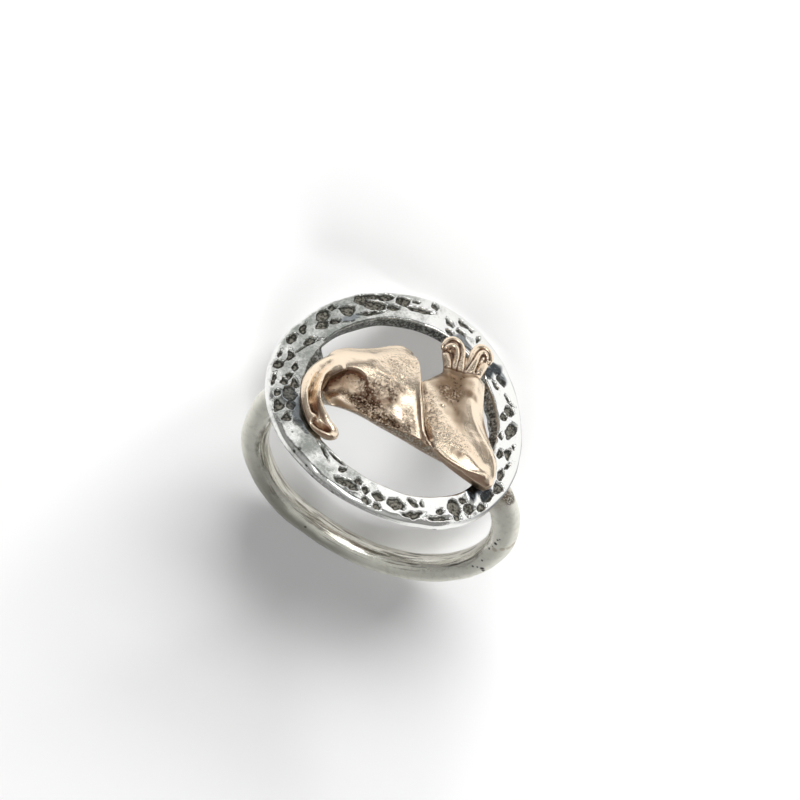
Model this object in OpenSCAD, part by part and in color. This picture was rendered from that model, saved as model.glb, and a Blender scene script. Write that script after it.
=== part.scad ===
// Ring of round silver wire with an open, pitted disc and a horned animal figure laid across it.
// Millimetres, +Z up. The ring lies on its side, as it rests on a table. The origin is at the middle
// of the base of its bounding box. Each piece is drawn on the disc, with +X along the hoop's width,
// +Y along the finger and +Z out of the disc's face, and then laid down.

/* [Disc] */
// Outer diameter of the disc
disc_d = 20.5; // [19:0.1:22]
// Diameter of the opening in the disc
hole_d = 15.5; // [14.5:0.1:16]
// Thickness of the disc
disc_t = 0.95; // [0.8:0.05:1.2]
// Radius that the disc is bent to, across the finger
bend_r = 31; // [28:1:34]
// Depth of the hammered pits
pit_depth = 0.3; // [0.1:0.05:0.4]

/* [Hoop] */
// Diameter of the round wire
wire_d = 2.3; // [2:0.1:2.6]
// Radius of the lower half of the hoop, at the wire's centre
hoop_r = 10.5; // [9.5:0.1:11.5]
// Radius of the two shoulders, at the wire's centre
shoulder_r = 7.2; // [6.8:0.1:7.6]
// How far the hoop sits to one side of the disc's centre
hoop_shift = 1.8; // [1.2:0.1:2.2]

/* [Figure] */
// Thickness of the horns where they leave the head
horn_d = 1.1; // [0.9:0.05:1.3]
// Number of steps that smooth each row of the figure's tables
steps = 3; // [2:1:4]

/* [Hidden] */
$fn = 64;
// How far the wire's top sinks into the solder under the disc, and the wire's level there
solder_sink = 0.1;
wire_r = wire_d / 2;
bar_level = -disc_t - wire_r + solder_sink;
hoop_level = bar_level - shoulder_r;
bar_half = hoop_r - shoulder_r;
// The hoop's plane is a little off the disc's centre, and so is the opening
hoop_off = -0.5;
hole_off = [0.2, -0.2];
disc_drop = bend_r - sqrt(bend_r * bend_r - disc_d * disc_d / 4);
// The level of the figure's flat back, just clear of the wire and of the disc's bent ends
figure_gap = 0.06;
edge_level = sqrt(bend_r * bend_r - hole_d * hole_d / 4) - bend_r;
back = max(bar_level + wire_r, edge_level) + figure_gap;
// The turns and the shift that bring the ring to rest on the disc's rim and the hoop
lie_turn = 63.3;
lie_roll = -1.2;
rest_at = [1.6, -7.2, 9.6];

silver = [0.78, 0.77, 0.74];
rose = [0.80, 0.55, 0.42];

// Pits: turn round the disc, place across its width from 0 at the opening to 1 at the rim, diameter
pits = [
    [2, 0.5, 0.9], [9, 0.33, 1.0], [24, 0.5, 0.7], [33, 0.3, 1.0], [52, 0.55, 1.0], [72, 0.6, 0.6],
    [80, 0.5, 0.8], [88, 0.5, 0.7], [97, 0.75, 0.6], [105, 0.58, 1.0], [115, 0.6, 0.9], [128, 0.58, 1.1],
    [143, 0.55, 1.0], [153, 0.7, 0.9], [165, 0.68, 1.0], [176, 0.7, 0.7], [195, 0.4, 0.7], [214, 0.58, 1.2],
    [262, 0.5, 0.8], [271, 0.42, 0.9], [280, 0.58, 1.1], [289, 0.46, 1.0], [297, 0.5, 1.0], [310, 0.6, 1.0],
    [322, 0.32, 0.9], [329, 0.62, 1.1], [351, 0.7, 0.7]
];

// Body, tail end to shoulder: low edge x, y, high edge x, y, lift of the back, five levels low to high
body_rows = [
    [-6.3, -2.2, -6.7, -1.3, 0.12, -0.5, -0.4, -0.4, -0.3, -0.4],
    [-4.7, -3.4, -6.5, 0.3, 0, -0.6, -0.5, -0.4, 0.3, -0.1],
    [-3.8, -2.9, -5.8, 1.2, 0, -0.6, -0.5, -0.2, 0.7, 0.2],
    [-2.4, -2.2, -4.7, 1.8, 0, -0.6, -0.3, 0.1, 1.0, 0.3],
    [-0.9, -2.0, -3.6, 2.6, 0, -0.6, 0.0, 0.4, 1.1, 0.3],
    [0.5, -1.9, -2.8, 3.7, 0, -0.6, 0.5, 0.6, 1.1, 0.3],
    [1.6, -1.9, -1.8, 4.1, 0, -0.5, 0.9, 0.9, 1.2, 0.3],
    [2.5, -2.1, -0.9, 3.6, 0, -0.4, 0.8, 1.0, 1.2, 0.4],
    [3.2, -2.4, -0.1, 2.0, 0, -0.3, 0.3, 0.6, 0.8, 0.5]
];

// Head, crown to snout: left edge x, y, right edge x, y, lift of the back, five levels left to right
head_rows = [
    [1.6, 4.4, 4.1, 5.5, 0.04, -0.3, 0.1, 0.2, 0.3, -0.1],
    [0.9, 3.0, 4.9, 5.1, 0.04, -0.1, 0.4, 0.6, 0.9, 0.2],
    [0.4, 1.9, 5.5, 3.8, 0.04, 0.0, 0.4, 0.6, 1.1, 0.3],
    [1.2, 0.0, 6.0, 2.3, 0.04, 0.1, 0.5, 0.6, 1.1, 0.3],
    [2.4, -1.5, 6.9, 0.8, 0.04, 0.1, 0.7, 0.7, 1.0, 0.3],
    [4.2, -2.4, 7.7, -0.2, 0.04, 0.0, 0.7, 0.8, 0.9, 0.3],
    [6.0, -2.8, 8.3, -1.1, 0.04, -0.1, 0.5, 0.7, 0.7, 0.2],
    [7.5, -2.9, 8.6, -2.0, 0.04, -0.2, 0.3, 0.5, 0.4, 0.0],
    [8.3, -3.1, 8.7, -2.8, 0.04, -0.5, -0.3, -0.2, -0.3, -0.5]
];

// Tail, body to hooked tip: outer edge x, y, inner edge x, y, lift of the back, five levels outer to inner
tail_rows = [
    [-5.2, 1.2, -4.6, 0.1, 0, -0.4, 0.2, 0.2, 0.1, -0.3],
    [-6.5, 0.1, -5.0, -0.8, 0, -0.2, 0.5, 0.3, 0.6, 0.0],
    [-7.2, -1.6, -5.5, -2.0, 0, -0.2, 0.4, 0.1, 0.6, -0.1],
    [-7.3, -3.2, -5.5, -3.0, 0.15, -0.2, 0.4, 0.0, 0.6, -0.1],
    [-6.8, -4.7, -5.2, -4.0, 0.3, -0.2, 0.4, 0.0, 0.5, -0.1],
    [-5.9, -5.9, -4.6, -4.8, 0.35, -0.2, 0.3, 0.0, 0.4, -0.1],
    [-4.8, -6.7, -3.9, -5.3, 0.5, -0.1, 0.3, 0.1, 0.4, 0.0],
    [-3.6, -6.9, -3.4, -5.5, 0.6, -0.1, 0.4, 0.3, 0.4, 0.0],
    [-3.0, -6.4, -3.0, -5.9, 0.65, -0.1, 0.1, 0.1, 0.1, -0.1]
];

// Horns, from the crown to the curled tip: x, y, level, and thickness as a share of horn_d
left_horn = [
    [2.6, 3.6, 0.1, 1.1], [2.1, 4.7, 0.3, 1.1], [2.1, 5.8, 0.5, 1.0], [1.7, 6.6, 0.6, 0.8],
    [1.0, 6.6, 0.6, 0.7], [0.8, 5.9, 0.5, 0.6], [1.2, 5.3, 0.4, 0.6]
];
right_horn = [
    [3.4, 4.1, 0.1, 1.1], [3.1, 5.4, 0.3, 1.1], [3.1, 6.5, 0.5, 1.0], [3.5, 7.3, 0.6, 0.8],
    [4.2, 7.3, 0.6, 0.7], [4.4, 6.6, 0.5, 0.6], [3.9, 6.2, 0.5, 0.6]
];

// A row of a table, with the first and last rows standing in past the ends
function row_at(rows, i) = rows[max(0, min(len(rows) - 1, i))];

// A smooth run between rows b and c at x, led by the rows on each side of them
function blend(a, b, c, d, x) =
    0.5 * (2 * b + (c - a) * x + (2 * a - 5 * b + 4 * c - d) * x * x + (3 * b - a - 3 * c + d) * x * x * x);

// The table with its rows joined by a smooth run of count steps
function smooth(rows, count) = [
    for (i = [0 : (len(rows) - 1) * count])
        let (j = floor(i / count))
            blend(row_at(rows, j - 1), row_at(rows, j), row_at(rows, j + 1), row_at(rows, j + 2), i / count - j)
];

// The ring of points of one section of a relief: its top from edge to edge, then its narrower back
function relief_ring(r) =
    let (
        low = [r[0], r[1], 0],
        high = [r[2], r[3], 0],
        top = smooth([for (i = [0 : 4]) low + (high - low) * i / 4 + [0, 0, r[5 + i]]], 2),
        inset = (high - low) * 0.08,
        under = [0, 0, back + r[4]]
    )
    concat(top, [high - inset + under, low + inset + under]);

// The ring of points round a strand at row i of its table
function strand_ring(rows, i, thick, sides) =
    let (
        along = row_at(rows, i + 1) - row_at(rows, i - 1),
        ahead = [along[0], along[1], along[2]] / norm([along[0], along[1], along[2]]),
        side = cross(ahead, [0, 0, 1]) / norm(cross(ahead, [0, 0, 1])),
        up = cross(side, ahead),
        centre = [rows[i][0], rows[i][1], rows[i][2]],
        r = rows[i][3] * thick / 2
    )
    [for (k = [0 : sides - 1]) centre + r * cos(360 * k / sides) * side + r * sin(360 * k / sides) * up];

// A closed skin over rings with the same number of points
module skin(rings) {
    n = len(rings[0]);
    last = len(rings) - 1;
    points = [for (ring = rings) each ring];
    walls = [
        for (i = [0 : last - 1], k = [0 : n - 1])
            let (a = i * n + k, b = i * n + (k + 1) % n)
                each [[a, b, b + n], [a, b + n, a + n]]
    ];
    first_cap = [for (k = [n - 1 : -1 : 0]) k];
    last_cap = [for (k = [0 : n - 1]) last * n + k];
    polyhedron(points = points, faces = concat(walls, [first_cap, last_cap]));
}

// A relief over a table of sections, standing on a flat back
module relief(rows) {
    skin([for (r = smooth(rows, steps)) relief_ring(r)]);
}

// A tapered round strand along a table of centres
module strand(rows, thick) {
    path = smooth(rows, steps);
    skin([for (i = [0 : len(path) - 1]) strand_ring(path, i, thick, 8)]);
}

// The ring's pieces are laid on their side together
module lie_down() {
    translate(rest_at) rotate([0, lie_roll, 0]) rotate([lie_turn, 0, 0]) rotate([0, 0, 180]) children();
}

// A round wire bent through turn degrees, from straight out along +X
module bent_wire(r, turn) {
    rotate_extrude(angle = turn) translate([r, 0]) circle(d = wire_d);
}

// The closed hoop: a half circle below, two shoulders, and a straight run under the disc
module hoop() {
    translate([hoop_shift, hoop_off, 0]) rotate([90, 0, 0]) {
        translate([0, hoop_level]) rotate(180) bent_wire(hoop_r, 180);
        translate([bar_half, hoop_level]) bent_wire(shoulder_r, 90);
        translate([-bar_half, hoop_level]) rotate(90) bent_wire(shoulder_r, 90);
        translate([-bar_half, bar_level]) rotate([0, 90, 0]) cylinder(d = wire_d, h = 2 * bar_half);
    }
}

// The disc, bent across the finger, with its opening and its pits
module disc() {
    difference() {
        intersection() {
            translate([0, 0, -disc_drop - 2 * disc_t]) cylinder(d = disc_d, h = disc_drop + 3 * disc_t);
            translate([0, disc_d, -bend_r]) rotate([90, 0, 0]) difference() {
                cylinder(r = bend_r, h = 2 * disc_d, $fn = 128);
                translate([0, 0, -1]) cylinder(r = bend_r - disc_t, h = 2 * disc_d + 2, $fn = 128);
            }
        }
        translate([hole_off[0], hole_off[1], -disc_drop - 3 * disc_t]) cylinder(d = hole_d, h = disc_drop + 5 * disc_t);
        for (p = pits) {
            out = hole_d / 2 + p[1] * (disc_d - hole_d) / 2;
            x = out * cos(p[0]);
            level = sqrt(bend_r * bend_r - x * x) - bend_r;
            translate([x, out * sin(p[0]), level - pit_depth]) cylinder(d = p[2], h = 2 * disc_t, $fn = 24);
        }
    }
}

// The post that carries the far side of the disc, hidden under it
module solder_post() {
    post_at = [-8.4, hoop_off, -1.6];
    translate(post_at) rotate([0, 137, 0]) cylinder(d = 1.6, h = 2.2);
}

module band_and_disc() {
    color(silver) lie_down() {
        hoop();
        disc();
        solder_post();
    }
}

module horned_figure() {
    color(rose) lie_down() {
        relief(body_rows);
        relief(head_rows);
        relief(tail_rows);
        strand(left_horn, horn_d);
        strand(right_horn, horn_d);
    }
}

band_and_disc();
horned_figure();
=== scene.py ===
# A finger ring lying on its side: a hoop of round silver wire, an open pitted disc, and a horned animal
# of rose-coloured metal laid across the opening. Sizes are millimetres in the ring's own frame, with x
# along the hoop's width, y along the finger and z out of the disc's face, unless a line says otherwise.
import math

import bpy
import numpy as np
from mathutils import Matrix


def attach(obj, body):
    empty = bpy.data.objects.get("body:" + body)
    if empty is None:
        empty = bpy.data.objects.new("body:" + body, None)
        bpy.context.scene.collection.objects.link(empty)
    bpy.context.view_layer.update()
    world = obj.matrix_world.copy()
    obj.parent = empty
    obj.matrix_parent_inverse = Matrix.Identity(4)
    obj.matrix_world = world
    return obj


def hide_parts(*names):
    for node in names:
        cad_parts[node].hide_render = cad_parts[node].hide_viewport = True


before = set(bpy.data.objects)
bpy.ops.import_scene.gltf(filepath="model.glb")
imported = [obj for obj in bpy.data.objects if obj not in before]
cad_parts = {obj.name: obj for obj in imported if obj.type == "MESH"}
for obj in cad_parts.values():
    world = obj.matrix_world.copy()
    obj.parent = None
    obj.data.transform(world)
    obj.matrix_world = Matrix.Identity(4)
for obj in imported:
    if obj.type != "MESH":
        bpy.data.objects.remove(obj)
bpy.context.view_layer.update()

# The hoop is a round silver wire bent into a closed loop, with a straight run that the disc is soldered
# to. It is satin and slightly tarnished outside, with painted shade on its lower left and along its creases,
# and rubbed bright inside, where drawing left streaks that are darkened as painted dark reflections, as is
# one stretch at the left.
WIRE_RADIUS = 1.15
# The loop's lower half, and the two shoulders that turn into the straight run
HOOP_RADIUS = 10.5
SHOULDER_RADIUS = 7.2
BAR_HALF = HOOP_RADIUS - SHOULDER_RADIUS
# The hoop's middle beside the disc's, across and along the finger, and the straight run's middle line
HOOP_SHIFT = 1.8
HOOP_OFF = -0.5
BAR_LEVEL = -2.0
HOOP_LEVEL = BAR_LEVEL - SHOULDER_RADIUS
# The wire bows out by this much at its lower left, and wear has taken about this much off it
BOW = 0.4
BOW_WAY = (-0.766, -0.643)
WEAR = 0.03
# Steps along the lower half, each shoulder and the straight run, and round the wire
HALF_STEPS = 280
SHOULDER_STEPS = 96
BAR_STEPS = 56
WIRE_SIDES = 64
# The ring lies on its side: it is turned and rolled by these angles, with the disc's middle here
LIE_TURN = math.radians(63.3)
LIE_ROLL = math.radians(-1.2)
REST_AT = np.array([1.6, -7.2, 9.6])
MM = 0.001

# Specks in the wire's side near its right end: x, y, z, size
SPECKS = [
    (11.89, -1.62, -7.87, 0.20), (11.84, -1.63, -7.32, 0.12), (11.76, -1.52, -8.98, 0.14),
    (11.86, -1.58, -8.44, 0.10), (11.91, -1.62, -10.69, 0.14), (12.54, -1.50, -11.92, 0.20),
    (12.34, -1.61, -11.64, 0.24), (12.60, -1.40, -12.10, 0.12), (11.63, -1.62, -11.99, 0.14),
    (11.95, -1.65, -11.73, 0.12), (11.94, -1.65, -7.09, 0.10), (-1.2, -1.64, -18.9, 0.2),
]
# The wire's solder joint, which shows as a brown trail, and the spilt solder by the disc, in the same way
TRAIL = [
    (12.12, -1.64, -8.62, 0.3), (12.62, -1.58, -8.14, 0.3), (13.03, -1.3, -7.93, 0.3),
    (13.21, -0.97, -7.67, 0.4),
]
SPILT = [(10.32, -0.93, -2.79, 0.7), (10.76, -0.86, -3.14, 0.6), (10.91, -0.5, -3.2, 0.6)]
# A stretch of the rubbed inside that is darkened as a painted dark reflection, in the same way
DARK_REFLECTION_SPOT = (-7.2, -1.2, -12.8, 3.4)
# The way from the hoop's middle to its stretch that is darkened as painted shade, where the wire mirrors the
# shadowed table, and the way, outward and along the finger, to the side of the straight run that the flame
# browned
PAINTED_SHADE_WAY = (-0.423, -0.906)
FLAME_WAY = (0.78, -0.63)
# Creases of the wire near its left end, as lines through points, darkened in colour as painted shade
CREASES = [
    [
        (-7.9, -1.45, -11.2), (-7.19, -1.3, -12.76), (-6.63, -1.24, -13.84), (-5.86, -1.27, -15.06),
        (-5.69, -1.5, -15.72),
    ],
    [(-5.69, -1.5, -15.72), (-4.56, -1.43, -16.69), (-3.55, -1.48, -17.52), (-2.4, -1.5, -18.2)],
    [(-5.67, -1.24, -15.26), (-4.84, -0.7, -15.81), (-3.68, -0.78, -16.82), (-2.82, -1.04, -17.48)],
]


def laid(points):
    """Points of the ring's own frame, in metres, with the ring on its side on the floor."""
    turned = (
        Matrix.Rotation(LIE_ROLL, 3, "Y")
        @ Matrix.Rotation(LIE_TURN, 3, "X")
        @ Matrix.Rotation(math.pi, 3, "Z")
    )
    return (np.asarray(points) @ np.array(turned).T + REST_AT) * MM


def waves(seed, count, shortest, longest, *coordinates):
    """A smooth uneven field, mostly within -1 and 1, made of plane waves of the given lengths."""
    draw = np.random.default_rng(seed)
    total = 0.0
    for _ in range(count):
        way = draw.normal(size=len(coordinates))
        way /= np.linalg.norm(way)
        length = draw.uniform(shortest, longest)
        along = sum(w * c for w, c in zip(way, coordinates))
        total = total + np.sin(2 * math.pi * along / length + draw.uniform(0, 2 * math.pi))
    return total / math.sqrt(2 * count)


def eased(value, low, high):
    """0 below low, 1 above high and a smooth step between them."""
    share = np.clip((value - low) / (high - low), 0, 1)
    return share * share * (3 - 2 * share)


def away_from(points, line):
    """Each point's distance from a line through the given points."""
    nearest = np.full(points.shape[:-1], np.inf)
    for a, b in zip(np.array(line[:-1]), np.array(line[1:])):
        share = np.clip((points - a) @ (b - a) / ((b - a) @ (b - a)), 0, 1)
        nearest = np.minimum(nearest, np.linalg.norm(points - a - share[..., None] * (b - a), axis=-1))
    return nearest


def arc(middle, radius, start, end, steps):
    """An arc of the hoop between two angles in degrees: its points, and the outward way at each."""
    turn = np.radians(np.linspace(start, end, steps, endpoint=False))
    ways = np.stack([np.cos(turn), np.sin(turn)], -1)
    return ways * radius + [middle, 0.0], ways


def straight_run():
    """The hoop's straight run between its shoulders: its points, and the outward way at each."""
    along = np.linspace(BAR_HALF, -BAR_HALF, BAR_STEPS, endpoint=False)
    return np.stack([along, np.full(BAR_STEPS, SHOULDER_RADIUS)], -1), np.tile([0.0, 1.0], (BAR_STEPS, 1))


def hoop_line():
    """The wire's centre line as x and z, bow and all, the outward way there, and the length so far."""
    stretches = [
        arc(0.0, HOOP_RADIUS, 180, 360, HALF_STEPS),
        arc(BAR_HALF, SHOULDER_RADIUS, 0, 90, SHOULDER_STEPS),
        straight_run(),
        arc(-BAR_HALF, SHOULDER_RADIUS, 90, 180, SHOULDER_STEPS),
    ]
    centres, ways = (np.concatenate(parts) for parts in zip(*stretches))
    bowed = BOW * eased(ways @ BOW_WAY, 0.78, 1.0)
    centres = centres + [HOOP_SHIFT, HOOP_LEVEL] + bowed[:, None] * ways
    run = np.concatenate([[0.0], np.cumsum(np.linalg.norm(np.diff(centres, axis=0), axis=1))])
    return centres, ways, run


def grid_faces(rows, columns):
    """The four-sided faces of a grid of points that closes on itself both ways."""
    here = np.arange(rows * columns).reshape(rows, columns)
    ahead = np.roll(here, -1, 0)
    return np.stack([here, np.roll(here, -1, 1), np.roll(ahead, -1, 1), ahead], -1).reshape(-1, 4)


def metal_piece(name, points, faces, marks):
    """A smooth mesh of the ring, with its own-frame place and the given marks stored at its points."""
    mesh = bpy.data.meshes.new(name)
    mesh.from_pydata(laid(points).tolist(), [], faces.tolist())
    mesh.attributes.new("place", "FLOAT_VECTOR", "POINT").data.foreach_set("vector", points.ravel())
    for mark, values in marks.items():
        mesh.attributes.new(mark, "FLOAT", "POINT").data.foreach_set("value", values.ravel())
    mesh.shade_smooth()
    piece = bpy.data.objects.new(name, mesh)
    bpy.context.scene.collection.objects.link(piece)
    return piece


centres, ways, run = hoop_line()
turn = np.linspace(0, 2 * math.pi, WIRE_SIDES, endpoint=False)
outward = np.stack([ways[:, 0], np.zeros(len(ways)), ways[:, 1]], -1)
finger_way = np.array([0.0, 1.0, 0.0])
normals = np.cos(turn)[None, :, None] * outward[:, None] + np.sin(turn)[None, :, None] * finger_way
middle = np.stack([centres[:, 0], np.full(len(run), HOOP_OFF), centres[:, 1]], -1)[:, None]
skin = middle + WIRE_RADIUS * normals
worn = -WEAR * (1 + waves(4, 14, 2.0, 6.0, *np.moveaxis(skin, -1, 0)))
hoop_points = middle + (WIRE_RADIUS + worn)[..., None] * normals
# Painted shade on the lower left outside, where the wire mirrors the shadowed table
painted_shade = eased(ways @ PAINTED_SHADE_WAY, 0.7, 1.0)
straight = eased(ways[:, 1], 0.6, 0.97)
flame_side = eased(FLAME_WAY[0] * np.cos(turn) + FLAME_WAY[1] * np.sin(turn), -0.1, 0.4)
hoop = metal_piece(
    "wire_hoop",
    hoop_points.reshape(-1, 3),
    grid_faces(len(run), WIRE_SIDES),
    {
        "inside": np.tile(-np.cos(turn), (len(run), 1)),
        "run": np.tile(run[:, None], (1, WIRE_SIDES)),
        "side": np.tile(np.sin(turn), (len(run), 1)),
        "crease": np.min([away_from(hoop_points, line) for line in CREASES], 0),
        "painted_shade": np.tile(painted_shade[:, None], (1, WIRE_SIDES)),
        "browned": straight[:, None] * flame_side,
    },
)


class Socket:
    """A node's output in a material, whose sums, differences and products add Math nodes."""

    def __init__(self, tree, output=None):
        self.tree = tree
        self.output = output

    def node(self, kind, settings, inputs, output=0):
        """Any other node: its settings first, then the values or links of its sockets."""
        made = self.tree.nodes.new(kind)
        for name, value in settings.items():
            setattr(made, name, value)
        for name, value in inputs.items():
            if isinstance(value, Socket):
                self.tree.links.new(value.output, made.inputs[name])
            else:
                made.inputs[name].default_value = value
        return Socket(self.tree, made.outputs[output])

    def maths(self, operation, first, second=0.0):
        return self.node("ShaderNodeMath", {"operation": operation}, {0: first, 1: second})

    def __add__(self, other):
        return self.maths("ADD", self, other)

    __radd__ = __add__

    def __sub__(self, other):
        return self.maths("SUBTRACT", self, other)

    def __rsub__(self, other):
        return self.maths("SUBTRACT", other, self)

    def __mul__(self, other):
        return self.maths("MULTIPLY", self, other)

    __rmul__ = __mul__

    def __or__(self, other):
        """The larger of the two."""
        return self.maths("MAXIMUM", self, other)

    __ror__ = __or__

    def __abs__(self):
        return self.maths("ABSOLUTE", self)

    def mark(self, name):
        """A number stored at the mesh's points."""
        return self.node("ShaderNodeAttribute", {"attribute_name": name}, {}, "Fac")

    def place(self):
        """The place in the ring's own frame, in millimetres, stored at the mesh's points."""
        return self.node("ShaderNodeAttribute", {"attribute_name": "place"}, {}, "Vector")

    def noise(self, place, per_mm, detail=3.0, roughness=0.55):
        """An uneven field around 0.5 with that many lumps to a millimetre."""
        inputs = {"Vector": place, "Scale": per_mm, "Detail": detail, "Roughness": roughness}
        return self.node("ShaderNodeTexNoise", {}, inputs)

    def step(self, value, low, high):
        """0 below low, 1 above high and smooth between them."""
        settings = {"interpolation_type": "SMOOTHSTEP"}
        return self.node("ShaderNodeMapRange", settings, {"Value": value, "From Min": low, "From Max": high})

    def tint(self, share, first, second):
        """The first colour where share is 0, going over to the second where it is 1."""
        first, second = (c if isinstance(c, Socket) else (*c, 1.0) for c in (first, second))
        factor, first_colour, second_colour, result_colour = 0, 6, 7, 2
        inputs = {factor: share, first_colour: first, second_colour: second}
        return self.node("ShaderNodeMix", {"data_type": "RGBA"}, inputs, result_colour)

    def spots(self, place, rows):
        """1 within half the size of any row's x, y, z, 0 beyond its size, and smooth between them."""
        total = 0.0
        for x, y, z, size in rows:
            ends = {0: place, 1: (x, y, z)}
            away = self.node("ShaderNodeVectorMath", {"operation": "DISTANCE"}, ends, "Value")
            total = (1 - self.step(away, size / 2, size)) | total
        return total


def new_material(name):
    """An empty material and the socket that its nodes are made from."""
    made = bpy.data.materials.new(name)
    made.use_nodes = True
    made.node_tree.nodes.clear()
    return made, Socket(made.node_tree)


def show(shader):
    """Makes that shader the one its material shows."""
    output = shader.tree.nodes.new("ShaderNodeOutputMaterial")
    shader.tree.links.new(shader.output, output.inputs["Surface"])


def show_metal(s, colour, roughness, height, depth):
    """Shows a metal of that colour, roughness and bump height, whose height of 1 is depth metres."""
    bump = s.node("ShaderNodeBump", {}, {"Height": height, "Strength": 1.0, "Distance": depth})
    inputs = {"Base Color": colour, "Metallic": 1.0, "Roughness": roughness, "Normal": bump}
    show(s.node("ShaderNodeBsdfPrincipled", {}, inputs))


SATIN = (0.90, 0.89, 0.81)
RUBBED = (0.85, 0.83, 0.75)
MOTTLED = (0.55, 0.53, 0.46)
PAINTED_SHADE_GREY = (0.34, 0.335, 0.29)
DARK_REFLECTION_GREY = (0.24, 0.23, 0.17)
SOLDER_TRAIL = (0.45, 0.36, 0.24)
STREAK_AND_DARK_REFLECTION = (0.16, 0.14, 0.11)
SPILT_SOLDER = (0.12, 0.11, 0.09)
SPECK_AND_CREASE_SHADE_BLACK = (0.07, 0.06, 0.045)
FLAME_BROWN = (0.33, 0.23, 0.155)
SILVER_GRAIN = 0.03 * MM
satin, s = new_material("satin_silver")
place = s.place()
inside = s.mark("inside")
along_wire = {"X": s.mark("run") * 0.12, "Y": inside * 2.2, "Z": s.mark("side") * 2.2}
streak = s.noise(s.node("ShaderNodeCombineXYZ", {}, along_wire), 2.2, 4.0)
cloud = s.noise(place, 0.55, 3.0)
mottle = s.noise(place, 2.2, 5.0, 0.65)
grain = s.noise(place, 9.0, 3.0)
rubbed = s.step(inside + (cloud - 0.5) * 0.9, 0.25, 0.7)
# Drawing streaks on the rubbed inside, darkened in colour as painted dark reflections
streak_and_dark_reflection = s.step(streak, 0.52, 0.62) * rubbed
# The creases, darkened below as painted shade
crease = 1 - s.step(s.mark("crease") + (mottle - 0.5) * 0.12, 0.03, 0.13)
speck, trail, spilt = (s.spots(place, rows) for rows in (SPECKS, TRAIL, SPILT))
dark_reflection = s.spots(place, [DARK_REFLECTION_SPOT]) * s.step(streak, 0.38, 0.52)
colour = s.tint(rubbed, SATIN, RUBBED)
colour = s.tint(s.step(mottle, 0.48, 0.68) * 0.3, colour, MOTTLED)
# Painted shade on the outside of the lower left
colour = s.tint(s.mark("painted_shade") * (1 - rubbed) * 0.85, colour, PAINTED_SHADE_GREY)
# Painted dark reflection on a stretch of the rubbed inside
colour = s.tint(dark_reflection * rubbed * 0.75, colour, DARK_REFLECTION_GREY)
colour = s.tint(trail * 0.5, colour, SOLDER_TRAIL)
# Drawing streaks, with painted dark reflections along them
colour = s.tint(streak_and_dark_reflection * 0.8, colour, STREAK_AND_DARK_REFLECTION)
colour = s.tint(spilt * s.step(grain, 0.3, 0.55), colour, SPILT_SOLDER)
# Black specks, and painted shade along the creases
colour = s.tint(speck | (crease * 0.85), colour, SPECK_AND_CREASE_SHADE_BLACK)
colour = s.tint(s.mark("browned") * s.step(grain, 0.2, 0.6), colour, FLAME_BROWN)
roughness = 0.50 - rubbed * 0.30 + (grain - 0.5) * 0.12 + (mottle - 0.5) * 0.15
height = streak * rubbed * 1.6 + grain * 0.15 + mottle * 0.5 - speck - crease * 1.5 - spilt * grain * 3.0
show_metal(s, colour, roughness, height, SILVER_GRAIN)
hoop.data.materials.append(satin)
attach(hoop, "root")
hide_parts("band_and_disc")

# The disc is an open plate of silver, bent across the finger, hammered and bitten with flat-bottomed
# pits that oxide has blackened. Its face is polished, greyer where tarnish stays and with painted shade
# at its lower left, and it is soldered to the hoop's straight run and to the animal, where the flame left
# blue-black stains. Its outer wall has a painted dark reflection at the right and painted shade at the lower
# left.
DISC_RADIUS = 10.25
HOLE_RADIUS = 7.75
HOLE_OFF = (0.2, -0.2)
DISC_THICK = 0.95
BEND_RADIUS = 31.0
AROUND = 1080
# Roundings of the hole's upper edge and the outer upper and lower edges, and the hole's lower bevel
HOLE_ROUND = 0.16
RIM_ROUND = 0.34
FOOT_ROUND = 0.2
BEVEL = 0.1
# How unevenly the hole is cut and the outer edge worn, and the share by which the hole's far wall is thicker
HOLE_WAVER = 0.07
RIM_WEAR = 0.05
FAR_WALL = 0.32
# Turns round the disc in degrees, from its right: the right rim, with solder and a painted dark reflection,
# the middle of the tarnish, the lower left with its painted shade, and the tail's tip, where the plate juts
# inwards
RIGHT_RIM = 30
TARNISHED = 165
SHADED = 222
TAIL_TIP = 227
JUT = 0.45
# How far solder has run into the hole under the face, at the left and at the right
LEFT_RUN_IN = 0.65
RIGHT_RUN_IN = 0.45
# The face's relief: long and short hammer waves, the level they leave, the pits with the spread and
# wander of their outlines, the solder, and a scored line on the left
LONG_WAVE = 0.045
SHORT_WAVE = 0.024
FACE_DROP = 0.035
PIT_DEPTH = 0.22
PIT_SPREAD = 1.22
PIT_WANDER = 0.05
SOLDER_HEIGHT = 0.12
SCORE_DEPTH = 0.1
SCORE_HALF = 0.06
# The scored line's turns in degrees and distances from the disc's middle
SCORED = [(164, 7.7), (169, 8.0), (175, 8.3), (180, 8.6), (190, 9.35), (193, 9.6)]
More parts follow.
